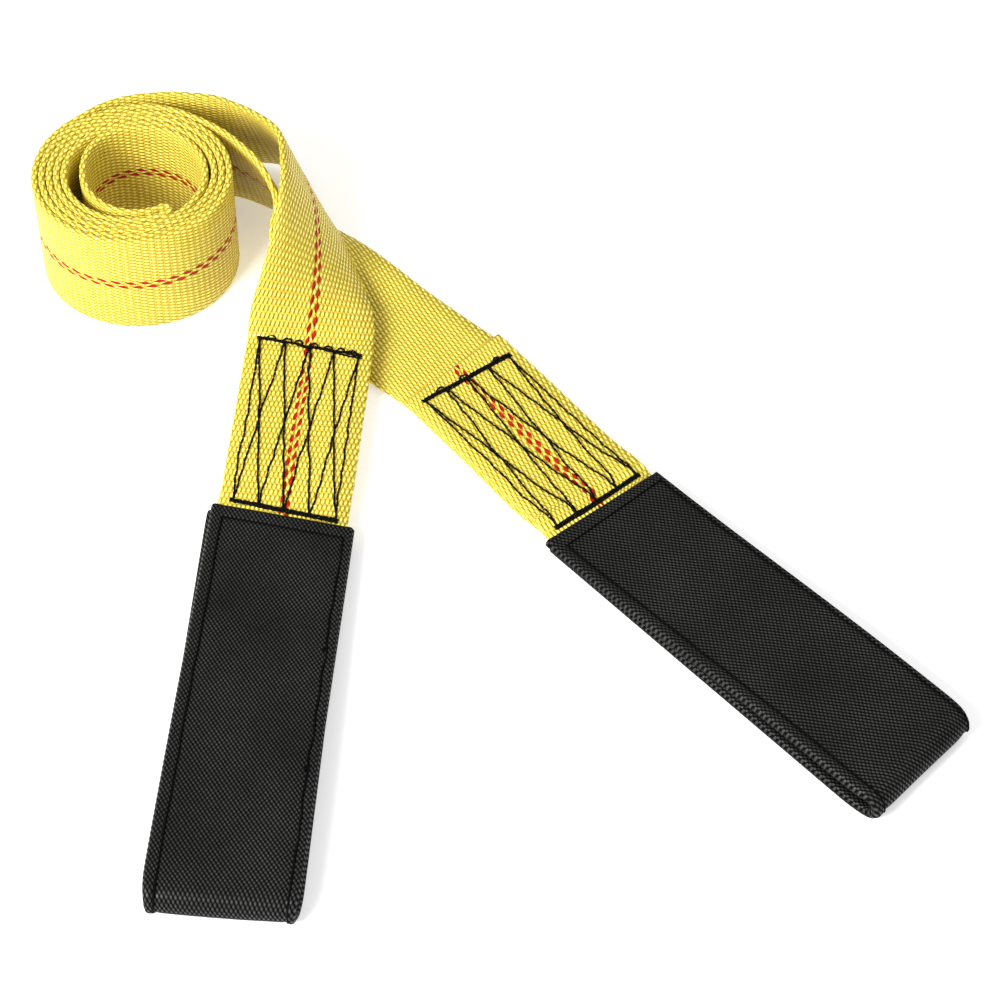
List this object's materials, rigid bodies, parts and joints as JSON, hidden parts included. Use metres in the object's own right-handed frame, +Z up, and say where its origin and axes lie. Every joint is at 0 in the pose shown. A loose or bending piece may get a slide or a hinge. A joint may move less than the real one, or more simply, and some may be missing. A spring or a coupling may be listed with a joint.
{
  "type": "tow strap",
  "caption": "Flat webbing recovery strap with sleeved loop ends, doubled and rolled up on edge with both ends led out.",
  "frame": {"origin": "on the floor under the middle of the strap's bounding box", "axes": "+Z up, +X to the right and +Y away from the viewer as the strap is laid out in the picture"},
  "size_m": [0.358, 0.368, 0.0515],
  "materials": {
    "webbing": "ribbed woven polyester, soft sheen",
    "sleeve": "coarse plain-weave nylon, matt",
    "thread": "bonded sewing thread, dull sheen",
    "clear_film": "clear creased film"
  },
  "bodies": {
    "root": {"webbing": "webbing", "sleeve_left": "sleeve", "sleeve_right": "sleeve", "box_stitch_left": "thread", "box_stitch_right": "thread", "sleeve_seam_left": "thread", "sleeve_seam_right": "thread", "label_film": "clear_film"}
  },
  "joints": []
}
